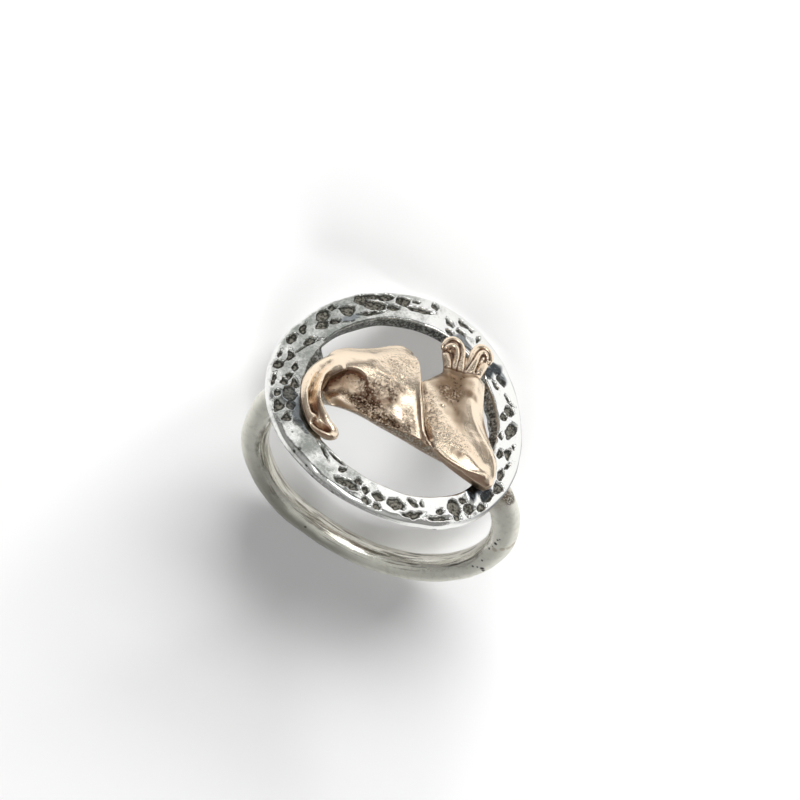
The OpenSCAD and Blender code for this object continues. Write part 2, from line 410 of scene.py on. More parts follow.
# Pits: turn round the disc in degrees, distance from its middle, long and short size, lean in degrees
PITS = [
    (3, 9.30, 0.8, 0.3, 15), (9.4, 9.03, 1.05, 0.6, 5), (6.8, 8.40, 0.75, 0.4, 5),
    (14.5, 9.40, 0.5, 0.3, 20), (22.5, 9.05, 1.45, 0.75, 28), (17, 8.15, 0.65, 0.4, 0),
    (29, 8.40, 0.65, 0.5, 20), (33, 9.00, 0.8, 0.75, 0), (36.5, 9.30, 0.7, 0.2, -55),
    (39.5, 9.05, 0.6, 0.25, -25), (49, 9.05, 0.9, 0.5, -20), (47, 8.35, 0.7, 0.3, -15),
    (72, 9.30, 0.5, 0.2, 80), (77.5, 9.50, 0.4, 0.25, 0), (82, 9.50, 1.1, 0.5, 0),
    (80.5, 8.68, 0.95, 0.45, 0), (88, 8.88, 0.8, 0.35, 25), (85, 8.05, 0.75, 0.4, 0),
    (97.5, 9.60, 0.7, 0.4, 45), (104, 8.78, 2.0, 0.4, -5), (106.5, 9.45, 0.5, 0.3, 0),
    (113, 9.30, 1.1, 0.9, 0), (118, 8.55, 0.9, 0.5, 0), (121, 9.55, 1.1, 0.6, -10),
    (127, 9.70, 1.2, 0.5, 5), (133, 9.50, 1.0, 0.9, 30), (127.5, 8.80, 1.5, 0.8, 10),
    (142, 8.85, 1.35, 1.1, 0), (131, 8.10, 2.0, 0.35, 0), (147.5, 9.60, 0.7, 0.45, 0),
    (154, 9.35, 1.2, 0.8, -20), (151.5, 8.35, 0.8, 0.4, 10), (158.5, 8.70, 1.1, 0.7, 5),
    (166.5, 9.45, 1.2, 0.5, -20), (174.5, 9.55, 1.0, 0.5, 0), (171.5, 8.35, 1.1, 0.5, 15),
    (184, 9.00, 1.1, 0.5, -10), (185, 9.75, 0.6, 0.2, 0), (191.5, 9.60, 0.8, 0.6, 20),
    (200, 9.75, 1.3, 0.3, 10), (201, 9.00, 0.75, 0.5, 10), (197.5, 8.65, 0.7, 0.45, 25),
    (191, 8.40, 0.8, 0.4, 0), (202, 8.25, 1.0, 0.6, 0), (208, 9.50, 0.5, 0.45, 20),
    (215, 9.60, 1.3, 0.8, 15), (208.5, 8.65, 1.3, 0.9, -5), (222, 9.30, 0.9, 0.6, 30),
    (216, 8.75, 0.7, 0.5, 0), (246, 8.40, 1.6, 0.2, 20), (253.5, 8.10, 1.2, 0.25, 0),
    (259.5, 8.50, 0.6, 0.4, -60), (265, 9.30, 1.8, 0.6, -10), (268.5, 8.65, 0.65, 0.6, 0),
    (273.5, 9.00, 0.65, 0.5, 60), (275.5, 9.75, 0.6, 0.5, 10), (280.5, 9.85, 0.6, 0.5, 90),
    (280, 9.00, 0.85, 0.7, 0), (289, 9.10, 1.25, 0.8, 0), (297, 9.65, 1.9, 0.55, -15),
    (297.5, 8.70, 0.8, 0.4, 25), (302.3, 8.65, 0.5, 0.3, 90), (310, 9.72, 1.95, 0.35, 0),
    (311.5, 9.20, 0.6, 0.4, -15), (319.5, 9.80, 0.6, 0.4, 0), (320, 9.05, 1.0, 1.1, 0),
    (325.5, 9.90, 0.5, 0.2, 60), (328, 9.40, 1.0, 0.65, -10), (327, 8.70, 0.75, 0.5, 0),
    (334.5, 9.75, 0.95, 0.5, 0), (341, 9.30, 1.3, 0.7, 0), (349.5, 9.50, 1.1, 0.8, 0),
    (356.5, 9.10, 0.9, 0.5, -10),
]
# Solder stains: turn, distance from the middle, long and short size, strength
STAINS = [
    (337, 8.4, 2.2, 1.6, 1.0), (342, 9.2, 1.5, 0.9, 0.75), (55, 8.7, 1.2, 2.2, 0.75),
    (77, 8.1, 1.8, 1.0, 0.6), (221, 8.3, 3.6, 1.4, 0.6), (209, 8.7, 1.8, 1.4, 0.5),
    (143, 8.1, 2.0, 0.7, 0.45), (50, 9.2, 1.4, 1.0, 0.45),
]
# Nicks in the disc's outer wall and its left side: x, y, z, size
NICKS = [
    (-1.42, -10.1, -0.83, 0.22), (-3.24, -9.67, -0.92, 0.16), (6.35, -7.98, -1.58, 0.3),
    (5.33, -8.7, -1.38, 0.2), (-3.99, -9.39, -0.56, 0.16), (-5.25, -8.74, -0.7, 0.2),
    (-4.97, -8.45, -0.45, 0.2), (-6.05, -7.3, -0.6, 0.14), (-3.75, -6.85, -0.25, 0.3),
]


def rounded(radius, angles):
    """Points of a rounded edge of that radius, as their two distances from the sides' lines."""
    return [(radius * (1 - math.cos(a)), radius * (1 - math.sin(a))) for a in angles]


def band_section():
    """The plate's section as shares of its width, millimetres added to them, and depths under its face."""
    rows = [(0, 0, d) for d in np.linspace(DISC_THICK - BEVEL, HOLE_ROUND, 9, endpoint=False)]
    rows += [(0, inset, depth) for inset, depth in rounded(HOLE_ROUND, np.linspace(0, 1.4, 4))]
    rows += [(k, HOLE_ROUND - k * (HOLE_ROUND + RIM_ROUND), 0) for k in np.linspace(0, 1, 46)]
    rows += [(1, -inset, depth) for depth, inset in rounded(RIM_ROUND, np.linspace(0.2, 1.57, 7))]
    rows += [(1, 0, d) for d in np.linspace(RIM_ROUND, DISC_THICK - FOOT_ROUND, 6)[1:]]
    rows += [(1, -inset, DISC_THICK - height) for inset, height in rounded(FOOT_ROUND, (0.5, 1.0, 1.5))]
    rows += [(1 - k, -FOOT_ROUND + k * (FOOT_ROUND + BEVEL), DISC_THICK) for k in np.linspace(0.08, 1, 9)]
    return np.array(rows)


def from_middle(turn, out):
    """The x and y of a place at that turn in degrees and that distance from the disc's middle."""
    return out * np.cos(np.radians(turn)), out * np.sin(np.radians(turn))


def in_oval(x, y, middle_x, middle_y, long, wide, lean):
    """Each point's place in an oval of that long and short size and lean, whose edge is at 1."""
    way = math.radians(lean)
    east = (x - middle_x) * math.cos(way) + (y - middle_y) * math.sin(way)
    north = (y - middle_y) * math.cos(way) - (x - middle_x) * math.sin(way)
    return 2 * east / long, 2 * north / wide


def pit_reach(x, y):
    """How far each point lies inside the edge of the nearest pit, in millimetres, and below 0 outside."""
    draw = np.random.default_rng(11)
    bent_x = x + PIT_WANDER * waves(25, 16, 0.35, 1.1, x, y)
    bent_y = y + PIT_WANDER * waves(26, 16, 0.35, 1.1, x, y)
    nearest = np.full_like(x, -0.5)
    for turn, out, long, wide, lean in PITS:
        east, north = in_oval(bent_x, bent_y, *from_middle(turn, out), long, wide, turn + 90 - lean)
        corners, start = draw.integers(3, 7), draw.uniform(0, 2 * math.pi)
        slice_half = math.pi / corners
        angle = np.arctan2(north, east)
        edge = math.cos(slice_half) / np.cos((angle - start) % (2 * slice_half) - slice_half)
        nearest = np.maximum(nearest, (PIT_SPREAD * edge**0.6 - np.hypot(east, north)) * wide / 2)
    return nearest


def stain_strength(x, y):
    """How strongly each point is stained, with ragged edges to the stains."""
    ragged = 0.25 * waves(5, 8, 0.5, 1.6, x, y)
    total = np.zeros_like(x)
    for turn, out, long, wide, strength in STAINS:
        reach = np.hypot(*in_oval(x, y, *from_middle(turn, out), long, wide, turn + 90)) + ragged
        total = np.maximum(total, strength * (1 - eased(reach, 0.55, 1.15)))
    return total


def towards(turn, angle):
    """1 where the turn is that many degrees, falling to -1 across from there."""
    return np.cos(turn - math.radians(angle))


section = band_section()
share, added = section[None, :, 0], section[None, :, 1]
turn = np.linspace(0, 2 * math.pi, AROUND, endpoint=False)[:, None]
degrees = np.degrees(turn)
over_x, over_y = np.cos(turn), np.sin(turn)
# The hole lies off the middle and is cut by hand, and the rim is worn
hole_share = HOLE_OFF[0] * over_x + HOLE_OFF[1] * over_y
hole_side = HOLE_OFF[0] * over_y - HOLE_OFF[1] * over_x
inner = hole_share + np.sqrt(HOLE_RADIUS**2 - hole_side**2)
inner = inner + HOLE_WAVER * waves(21, 10, 1.5, 5.0, 8 * over_x, 8 * over_y)
inner = inner - JUT * eased(towards(turn, TAIL_TIP), 0.972, 0.997)
worn = np.clip(1 + waves(22, 12, 1.8, 7.0, 10 * over_x, 10 * over_y), 0.1, 3)
outer = DISC_RADIUS - RIM_WEAR * worn
out = inner + share * (outer - inner) + added
depth = np.broadcast_to(section[None, :, 2], out.shape)
inner_side = np.broadcast_to(1 - share, out.shape)
depth = depth * (1 + FAR_WALL * inner_side * eased(over_y, -0.1, 0.7) * (depth > 0.2))
# Solder has run into the hole under the face, with a ragged edge
run_in = LEFT_RUN_IN * eased(degrees, 166, 176) * (1 - eased(degrees, 192, 200))
run_in = run_in + RIGHT_RUN_IN * eased(towards(turn, RIGHT_RIM), 0.92, 0.97)
ragged = 1 + 0.2 * waves(27, 12, 0.9, 2.6, 8 * over_x, 8 * over_y)
out = out - run_in * ragged * inner_side**6 * eased(depth, 0.12, 0.7)
x, y = out * over_x, out * over_y
# The bent plate's level, with the relief of its face
face = 1 - eased(depth, 0.0, 0.3)
outer_side = (share == 1) * np.ones_like(out)
reach = -0.5 + (0.5 + pit_reach(x, y)) * face
score_ends = eased(degrees, 164, 168) * (1 - eased(degrees, 190, 194))
score = np.exp(-(((out - np.interp(degrees, *zip(*SCORED))) / SCORE_HALF) ** 2)) * score_ends * face
stain = stain_strength(x, y) * (1 - eased(depth, 0.3, 0.8))
rolling = LONG_WAVE * waves(23, 16, 1.6, 4.5, x, y) + SHORT_WAVE * waves(24, 14, 0.8, 1.8, x, y)
level = np.sqrt((BEND_RADIUS - depth) ** 2 - x**2) - BEND_RADIUS
level += (rolling - FACE_DROP + SOLDER_HEIGHT * stain) * face
level -= PIT_DEPTH * eased(reach, -0.05, 0.07) + SCORE_DEPTH * score
# Where the tarnish lies, with painted shade added towards the lower left, how dark the hole's wall is, and
# the outer wall's two edges: painted shade on the lower one at the lower left, a painted dark reflection on
# the upper one at the right
grey = np.maximum(towards(turn, TARNISHED), 0.75 * towards(turn, SHADED))
on_back = section[:, 2] == DISC_THICK
hole_wall = (1 - outer_side) * eased(depth, 0.08, 0.3) * (1 - 0.85 * on_back)
# Painted shade on the outer wall's lower edge at the lower left
lower_edge_shade = outer_side * eased(depth, 0.68, 0.8) * eased(towards(turn, SHADED), 0.6, 0.9)
# Painted dark reflection on the outer wall's upper edge, strongest towards the right
upper_edge_reflection = outer_side * eased(depth, 0.05, 0.13) * (1 - eased(depth, 0.3, 0.5))
disc = metal_piece(
    "pitted_disc",
    np.stack([x, y, level], -1).reshape(-1, 3),
    grid_faces(AROUND, len(section)),
    {
        "reach": np.maximum(reach, 0.16 * score - 0.1),
        "stain": stain,
        "tarnish_and_shade": eased(grey, -0.1, 0.85) * (1 - 0.4 * outer_side * eased(depth, 0.01, 0.06)),
        "wall": np.maximum(hole_wall, lower_edge_shade),
        "rim": upper_edge_reflection * eased(towards(turn, RIGHT_RIM), 0.2, 0.7),
    },
)

POLISHED = (0.92, 0.92, 0.895)
TARNISH_AND_SHADE = (0.29, 0.305, 0.28)
PIT_BLACK = (0.07, 0.067, 0.055)
PIT_GREY = (0.35, 0.335, 0.285)
CREVICE_BLACK = (0.045, 0.045, 0.04)
WALL_BLACK = (0.09, 0.09, 0.08)
STAIN_BLUE = (0.19, 0.215, 0.235)
BURNT_AND_REFLECTION_BLACK = (0.028, 0.032, 0.036)
BURNT_AND_REFLECTION_BLUE = (0.105, 0.115, 0.122)
NICK_BLACK = (0.05, 0.05, 0.045)
polished, s = new_material("polished_silver")
place = s.place()
reach, stain, tarnish_and_shade, wall, rim = (s.mark(m) for m in ("reach", "stain", "tarnish_and_shade", "wall", "rim"))
cloud = s.noise(place, 0.7, 4.0)
fine = s.noise(place, 5.0, 4.0)
grain = s.noise(place, 12.0, 3.0)
edge = reach + (fine - 0.5) * 0.2 + (grain - 0.5) * 0.06
stained = s.step(stain + (fine - 0.5) * 0.5, 0.4, 0.8)
bitten = s.step(edge, 0.0, 0.05)
crevice = bitten * (1 - s.step(edge, 0.04, 0.17))
polish = s.step(edge, -0.2, -0.04) * (1 - bitten)
dull_and_shaded = s.step(tarnish_and_shade + (cloud - 0.5) * 1.4 - polish * 0.5, 0.1, 0.9)
# Tarnish, with painted shade towards the lower left
colour = s.tint(dull_and_shaded, POLISHED, TARNISH_AND_SHADE)
pit_floor = s.tint(s.step(fine, 0.38, 0.62), PIT_BLACK, PIT_GREY)
colour = s.tint(bitten, colour, pit_floor)
# Oxide in the pits' crevices and the hole's wall, and painted shade on the outer wall's lower edge at the
# lower left
dark = (crevice * 0.9) | (wall * s.step(fine, 0.62, 0.42) * 0.95)
colour = s.tint(dark, colour, CREVICE_BLACK)
colour = s.tint(wall * 0.6, colour, WALL_BLACK)
colour = s.tint(s.step(stain, 0.0, 0.5) * (0.75 - bitten * 0.6), colour, STAIN_BLUE)
# Solder burns, and a painted dark reflection along the outer wall's upper edge at the right
burnt_and_reflection = s.tint(s.step(fine, 0.45, 0.7), BURNT_AND_REFLECTION_BLACK, BURNT_AND_REFLECTION_BLUE)
colour = s.tint(stained | (rim * 0.9), colour, burnt_and_reflection)
colour = s.tint(s.spots(place, NICKS) * 0.9, colour, NICK_BLACK)
roughness = 0.13 + dull_and_shaded * 0.1 + bitten * 0.3 + wall * 0.2 + (fine - 0.5) * 0.1
height = fine * (0.5 + stain) + grain * (0.1 + bitten * 0.6 + wall * 0.8) - s.step(edge, -0.12, 0.06) * 1.1
show_metal(s, colour, roughness, height, SILVER_GRAIN)
disc.data.materials.append(polished)
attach(disc, "root")
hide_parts("band_and_disc")

# The animal is a casting of rose-coloured metal, with a hooked tail of two strands, a hollowed body, a
# long head and two curled horns. Its ridges are polished, its hollows are matt, granular and browned,
# its sides, lower lip and some browned patches carry painted shade, and its flat back is soldered across
# the disc's opening.
BACK = -0.79
# The skins are fused into one mesh with faces of this size
FINEST = 0.07
STRAND_SIDES = 20
# Between these places along y the body goes over into the horns, which keep more of their detail
HORNS_FROM = (4.4, 4.9)
# How deep its creases are and how high its crumbs, where it is crumbled, and how uneven all of it is
CREASE_DEPTH = 0.12
CRUMB_HEIGHT = 0.05
UNEVEN = 0.006
# Each row of a relief: one edge x, y, the other edge x, y, lift of the back, seven levels between the edges
BODY = [
    (-6.3, -2.2, -6.7, -1.3, 0.12, -0.5, -0.4, -0.4, -0.4, -0.4, -0.3, -0.4),
    (-4.7, -3.6, -6.5, 0.35, 0, -0.4, -0.3, -0.25, 0.2, 0.6, 0.45, 0.1),
    (-3.8, -3.3, -5.8, 1.25, 0, -0.4, -0.25, 0.0, 0.5, 0.75, 0.65, 0.2),
    (-2.4, -3.0, -4.7, 1.95, 0, -0.4, -0.3, 0.0, 0.6, 1.0, 0.8, 0.3),
    (-0.9, -2.85, -3.6, 2.85, 0, -0.4, -0.2, 0.25, 0.8, 1.1, 0.9, 0.3),
    (0.5, -2.65, -2.75, 3.75, 0, -0.4, 0.0, 0.5, 1.0, 1.2, 0.9, 0.3),
    (1.7, -2.5, -1.95, 4.2, 0, -0.3, 0.2, 0.8, 1.15, 1.2, 0.9, 0.3),
    (2.6, -2.5, -0.95, 3.95, 0, -0.3, 0.3, 0.9, 1.1, 1.1, 0.9, 0.3),
    (3.2, -2.65, -0.25, 2.6, 0, -0.3, 0.0, 0.1, 0.2, 0.2, 0.2, 0.1),
]
HEAD = [
    (1.6, 4.4, 4.1, 5.5, 0.04, -0.3, 0.0, 0.1, 0.2, 0.3, 0.2, -0.1),
    (0.9, 3.0, 4.85, 5.1, 0.04, -0.1, 0.3, 0.4, 0.4, 0.7, 0.7, 0.1),
    (0.4, 1.9, 5.3, 3.8, 0.04, 0.0, 0.3, 0.4, 0.5, 0.8, 0.85, 0.2),
    (1.2, 0.0, 5.85, 2.3, 0.04, 0.0, 0.3, 0.5, 0.6, 0.9, 0.75, 0.1),
    (2.4, -2.0, 6.85, 0.8, 0.04, 0.0, 0.4, 0.7, 0.8, 0.9, 0.7, 0.1),
    (4.2, -3.05, 7.7, -0.2, 0.04, 0.0, 0.5, 0.8, 0.85, 0.9, 0.75, 0.1),
    (6.0, -3.4, 8.3, -1.1, 0.04, 0.1, 0.55, 0.75, 0.75, 0.75, 0.65, 0.2),
    (7.5, -3.5, 8.6, -2.0, 0.04, 0.0, 0.4, 0.5, 0.5, 0.45, 0.35, 0.0),
    (8.3, -3.4, 8.75, -2.8, 0.04, -0.2, 0.0, 0.1, 0.1, 0.0, -0.1, -0.3),
]
TAIL = [
    (-4.4, 1.5, -3.2, -0.2, 0, -0.4, 0.2, 0.4, 0.5, 0.4, 0.2, -0.3),
    (-5.6, 1.0, -4.2, -0.4, 0, -0.3, 0.4, 0.6, 0.6, 0.7, 0.6, -0.2),
    (-6.5, 0.1, -5.0, -0.8, 0, 0.0, 0.4, 0.6, 0.55, 0.7, 0.8, 0.0),
    (-7.2, -1.6, -5.7, -1.9, 0, 0.1, 0.45, 0.5, 0.4, 0.6, 0.8, -0.1),
    (-7.3, -3.2, -5.7, -3.0, 0.15, 0.1, 0.45, 0.5, 0.2, 0.5, 0.7, -0.1),
    (-6.8, -4.7, -5.35, -4.1, 0.3, 0.15, 0.45, 0.5, 0.1, 0.4, 0.6, -0.1),
    (-5.9, -5.9, -4.6, -4.8, 0.35, 0.1, 0.35, 0.4, 0.1, 0.3, 0.5, -0.1),
    (-4.8, -6.7, -3.9, -5.3, 0.5, -0.1, 0.3, 0.3, 0.1, 0.4, 0.5, 0.0),
    (-3.6, -6.9, -3.4, -5.5, 0.6, -0.1, 0.4, 0.4, 0.3, 0.4, 0.4, 0.0),
    (-3.0, -6.4, -3.0, -5.9, 0.65, -0.1, 0.1, 0.1, 0.1, 0.1, 0.1, -0.1),
]
# A horn is a leaf rolled in on itself, so it shows an outer and an inner strand over a stem and a web.
# Rows of x, y, level and thickness.
HORNS = [
    [
        (2.75, 4.0, 0.2, 0.7), (2.65, 5.0, 0.55, 0.5), (2.3, 6.0, 0.7, 0.5), (1.98, 6.55, 0.75, 0.5),
        (1.55, 6.85, 0.75, 0.5), (1.1, 6.85, 0.75, 0.5), (0.78, 6.5, 0.7, 0.5), (0.66, 5.95, 0.65, 0.45),
        (0.75, 5.6, 0.55, 0.35),
    ],
    [
        (2.3, 4.0, 0.25, 0.6), (2.25, 4.6, 0.5, 0.42), (1.97, 5.5, 0.75, 0.42), (1.68, 6.05, 0.85, 0.42),
        (1.33, 6.22, 0.85, 0.42), (1.05, 6.0, 0.8, 0.42), (0.85, 5.6, 0.7, 0.4),
    ],
    [(2.1, 3.9, 0.1, 0.9), (1.7, 4.7, 0.3, 0.8), (1.25, 5.3, 0.4, 0.65), (0.98, 5.75, 0.45, 0.5)],
    [(2.6, 4.0, 0.1, 1.0), (2.15, 5.2, 0.3, 0.9), (1.75, 5.9, 0.4, 0.9), (1.35, 6.25, 0.4, 0.7)],
    [
        (3.2, 4.5, 0.2, 0.7), (3.1, 5.3, 0.5, 0.5), (2.98, 6.3, 0.65, 0.5), (2.95, 7.0, 0.7, 0.5),
        (3.15, 7.5, 0.75, 0.5), (3.6, 7.65, 0.75, 0.5), (4.05, 7.45, 0.75, 0.5), (4.35, 6.95, 0.7, 0.5),
        (4.33, 6.5, 0.6, 0.4),
    ],
    [
        (3.6, 4.6, 0.25, 0.6), (3.5, 5.1, 0.5, 0.42), (3.42, 5.9, 0.75, 0.42), (3.38, 6.7, 0.85, 0.42),
        (3.55, 7.1, 0.85, 0.42), (3.85, 7.1, 0.85, 0.42), (4.1, 6.75, 0.75, 0.4),
    ],
    [(3.9, 4.8, 0.1, 0.9), (4.0, 5.6, 0.35, 0.8), (4.1, 6.2, 0.45, 0.7), (4.15, 6.6, 0.45, 0.55)],
    [(3.4, 4.6, 0.1, 1.0), (3.4, 5.9, 0.3, 0.9), (3.5, 6.8, 0.4, 0.9), (3.75, 7.2, 0.4, 0.6)],
    [(2.9, 4.4, 0.0, 1.0), (2.8, 5.3, 0.25, 0.7), (2.68, 6.2, 0.25, 0.45)],
]
# Browned patches of the casting, which also carry painted shade where the surface lies in shade: x, y, long
# and short size, lean in degrees, strength
PATINA_AND_SHADE = [
    (2.6, 3.2, 4.2, 3.2, 20, 0.9), (3.2, 1.9, 3.0, 2.4, 0, 0.7), (4.1, 0.5, 3.2, 1.6, -50, 0.5),
    (6.9, -1.1, 2.6, 0.6, -45, 0.5), (5.2, -2.5, 1.8, 0.6, -10, 0.5), (-2.6, -1.9, 2.8, 1.3, 17, 0.7),
    (-2.4, -1.4, 5.4, 2.2, 15, 0.55), (-4.5, -1.7, 2.2, 1.5, 35, 0.45), (-0.7, -0.2, 2.2, 1.0, 0, 0.35),
    (-3.4, -3.3, 3.8, 1.3, 8, 0.95), (-0.5, -2.95, 4.4, 1.2, 6, 0.95), (1.9, -2.6, 2.2, 0.9, 0, 0.9),
    (-0.8, -2.45, 4.6, 1.1, 8, 0.85), (-5.45, -5.2, 1.5, 0.6, -45, 1.0), (-4.3, -6.15, 1.8, 0.6, -10, 1.0),
    (-6.4, -3.6, 2.6, 0.35, 85, 0.3), (1.3, 6.95, 1.8, 0.5, 0, 0.2), (3.6, 7.7, 1.4, 0.5, 0, 0.2),
    (1.4, 5.2, 1.6, 0.7, -60, 0.5), (4.0, 5.9, 1.8, 0.6, 85, 0.4), (2.9, 5.7, 1.8, 0.35, 100, 0.4),
    (2.6, 4.3, 3.2, 0.6, 12, 0.6), (0.9, 1.6, 2.6, 0.5, -70, 0.6), (6.5, 1.0, 3.2, 0.6, -52, 0.8),
]
# Places where the casting is crumbled and creased, in the same way
CRUMBLED = [
    (-2.5, -1.8, 4.2, 1.8, 15, 1.0), (-2.0, -0.6, 4.6, 1.6, 15, 0.7), (2.0, 0.1, 4.6, 1.4, -55, 0.65),
    (0.9, -1.5, 2.8, 1.2, -50, 0.5), (4.4, -1.3, 5.4, 2.0, -25, 0.45), (-3.4, -1.9, 2.2, 1.6, 20, 0.5),
    (-0.6, -2.5, 5.2, 1.1, 6, 0.9), (-1.6, 1.4, 4.4, 2.2, 25, 0.45), (-1.3, 2.8, 3.2, 1.4, 30, 0.35),
    (2.8, 2.2, 3.0, 2.6, 0, 0.35),
]
# Lines worked into the wax before it was cast: height, half width, then the line's points as x, y
LINES = [
    (
        0.22, 0.30,
        [
            (-5.3, -1.0), (-5.6, -1.6), (-5.85, -2.2), (-5.9, -2.95), (-5.75, -3.9), (-5.2, -4.9),
            (-4.6, -5.45),
        ],
    ),
    (-0.22, 0.55, [(-5.3, -3.1), (-5.1, -2.4), (-4.5, -1.9), (-3.6, -1.6), (-2.8, -1.5)]),
    (-0.25, 0.40, [(-3.4, -1.9), (-2.6, -1.8), (-1.8, -1.6), (-1.0, -1.2)]),
    (-0.30, 0.17, [(-6.4, -4.0), (-6.0, -4.8), (-5.5, -5.4)]),
    (-0.42, 0.20, [(-5.0, -6.15), (-4.5, -6.3), (-3.9, -6.3)]),
    (
        0.18, 0.16,
        [
            (-0.75, 3.3), (-0.3, 2.6), (0.05, 1.8), (0.35, 1.0), (0.7, 0.3), (1.35, -0.65), (1.95, -1.45),
            (2.6, -2.2),
        ],
    ),
    (-0.20, 0.20, [(0.15, 2.4), (0.6, 1.3), (0.95, 0.5), (1.65, -0.45), (2.3, -1.3), (3.0, -2.1)]),
    (
        0.15, 0.26,
        [(4.0, 4.5), (4.35, 3.3), (4.45, 2.15), (5.3, 0.75), (6.55, -0.3), (7.7, -1.2), (8.45, -2.3)],
    ),
    (-0.14, 0.45, [(3.0, 3.2), (3.6, 1.8), (4.2, 0.5), (5.2, -0.6), (6.2, -1.4), (7.2, -2.1)]),
    (0.08, 0.45, [(2.9, -0.9), (4.0, -1.4), (5.2, -2.0), (6.6, -2.5), (7.6, -2.7)]),
    (0.12, 0.12, [(3.9, -2.75), (4.6, -3.0), (5.4, -3.15), (6.6, -3.25), (7.8, -3.05)]),
]
# Dabs of wax left on it, or pressed in: height, half width, x, y
DABS = [
    (0.16, 0.16, 2.7, 1.0), (0.14, 0.14, 5.5, -2.4), (-0.12, 0.5, -2.2, 1.3), (0.12, 0.5, -3.6, 1.2),
    (0.15, 0.20, -5.2, -5.85),
]
# Dark seams and creases, as a strength and the line's points, with their half width and depth
SEAM_HALF = 0.085
SEAM_DEPTH = 0.1
SEAMS = [
    (
        1.0,
        [
            (0.73, 5.67), (0.85, 6.27), (1.18, 6.62), (1.61, 6.64), (1.92, 6.26), (2.16, 5.72),
            (2.27, 4.99), (2.43, 4.4),
        ],
    ),
    (1.0, [(0.82, 5.36), (1.17, 5.57), (1.46, 5.64), (1.72, 5.37), (1.85, 4.86), (2.01, 4.37)]),
    (0.8, [(2.45, 6.59), (2.6, 5.76), (2.9, 5.0), (2.95, 4.7)]),
    (1.0, [(3.03, 4.95), (3.1, 5.66), (3.15, 6.51), (3.22, 7.1), (3.54, 7.4), (4.0, 7.25), (4.3, 6.75)]),
    (1.0, [(3.78, 5.2), (3.66, 6.3), (3.68, 6.8), (3.9, 6.85), (4.05, 6.55)]),
    (0.7, [(1.5, 4.2), (2.1, 4.35), (2.7, 4.5), (3.4, 4.85), (4.1, 5.2)]),
    (0.9, [(0.2, 2.2), (0.6, 1.2), (0.9, 0.5), (1.6, -0.45), (2.25, -1.3), (3.0, -2.15), (3.5, -2.6)]),
    (0.4, [(-6.2, -1.0), (-6.5, -2.0), (-6.55, -2.9), (-6.35, -3.9), (-6.0, -4.8)]),
    (0.7, [(-3.6, -3.2), (-2.4, -3.0), (-1.1, -2.85), (1.0, -2.6), (2.2, -2.55)]),
]
# Where the tail's inner strand runs smoothly into the body, and half the width that is smoothed
TAIL_ROOT = [
    (-5.75, -2.0), (-5.5, -1.3), (-5.2, -0.75), (-5.1, -0.3), (-5.0, 0.1), (-4.6, -0.1), (-4.0, -0.1),
]
ROOT_HALF = 0.5
# The recess beside the tail's root: an oval x, y, long and short size and lean in degrees, the side
# along the tail's strand as y and x, and its depth
RECESS = (-4.25, -2.5, 4.5, 3.25, 70)
RECESS_SIDE = [(-4.1, -5.4), (-3.0, -5.7), (-1.9, -5.65), (-0.8, -4.9)]
RECESS_DEPTH = 0.4
# The recess is full here and fades out this way, towards the head
RECESS_FULL = (-5.3, -1.3)
HEAD_WAY = (0.69, -0.72)


def smooth_rows(rows, count):
    """A table's rows joined by a smooth curve of count steps between each two."""
    rows = np.asarray(rows, float)
    ends = np.concatenate([rows[:1], rows, rows[-1:], rows[-1:]])
    made = []
    for i in range((len(rows) - 1) * count + 1):
        j, t = i // count, (i % count) / count
        a, b, c, d = ends[j : j + 4]
        squared, cubed = 2 * a - 5 * b + 4 * c - d, 3 * b - a - 3 * c + d
        made.append(0.5 * (2 * b + (c - a) * t + squared * t * t + cubed * t**3))
    return np.array(made)


def loft(rings):
    """Points and faces of a closed skin over rings with the same number of points."""
    count, around = rings.shape[:2]
    faces = []
    for i in range(count - 1):
        for k in range(around):
            a, b = i * around + k, i * around + (k + 1) % around
            faces.append((a, b, b + around, a + around))
    faces.append(tuple(range(around))[::-1])
    faces.append(tuple((count - 1) * around + k for k in range(around)))
    return rings.reshape(-1, 3), faces


def relief(rows):
    """The closed skin of a relief that stands on a flat back."""
    rings = []
    for row in smooth_rows(rows, 8):
        low, high = np.array([row[0], row[1], 0]), np.array([row[2], row[3], 0])
        levels = smooth_rows(row[5:, None], 4)[:, 0]
        top = low + (high - low) * np.linspace(0, 1, len(levels))[:, None]
        top[:, 2] += levels
        inset, under = (high - low) * 0.08, np.array([0, 0, BACK + row[4]])
        rings.append(np.concatenate([top, [high - inset + under, low + inset + under]]))
    return loft(np.array(rings))


def strand(rows):
    """The closed skin of a tapered round strand."""
    path = smooth_rows(rows, 8)
    ahead = np.gradient(path[:, :3], axis=0)
    ahead /= np.linalg.norm(ahead, axis=1)[:, None]
    side = np.cross(ahead, [0, 0, 1])
    side /= np.linalg.norm(side, axis=1)[:, None]
    up = np.cross(side, ahead)
    angle = np.linspace(0, 2 * math.pi, STRAND_SIDES, endpoint=False)[None, :, None]
    radius = path[:, None, 3:4] / 2
    return loft(path[:, None, :3] + radius * (np.cos(angle) * side[:, None] + np.sin(angle) * up[:, None]))


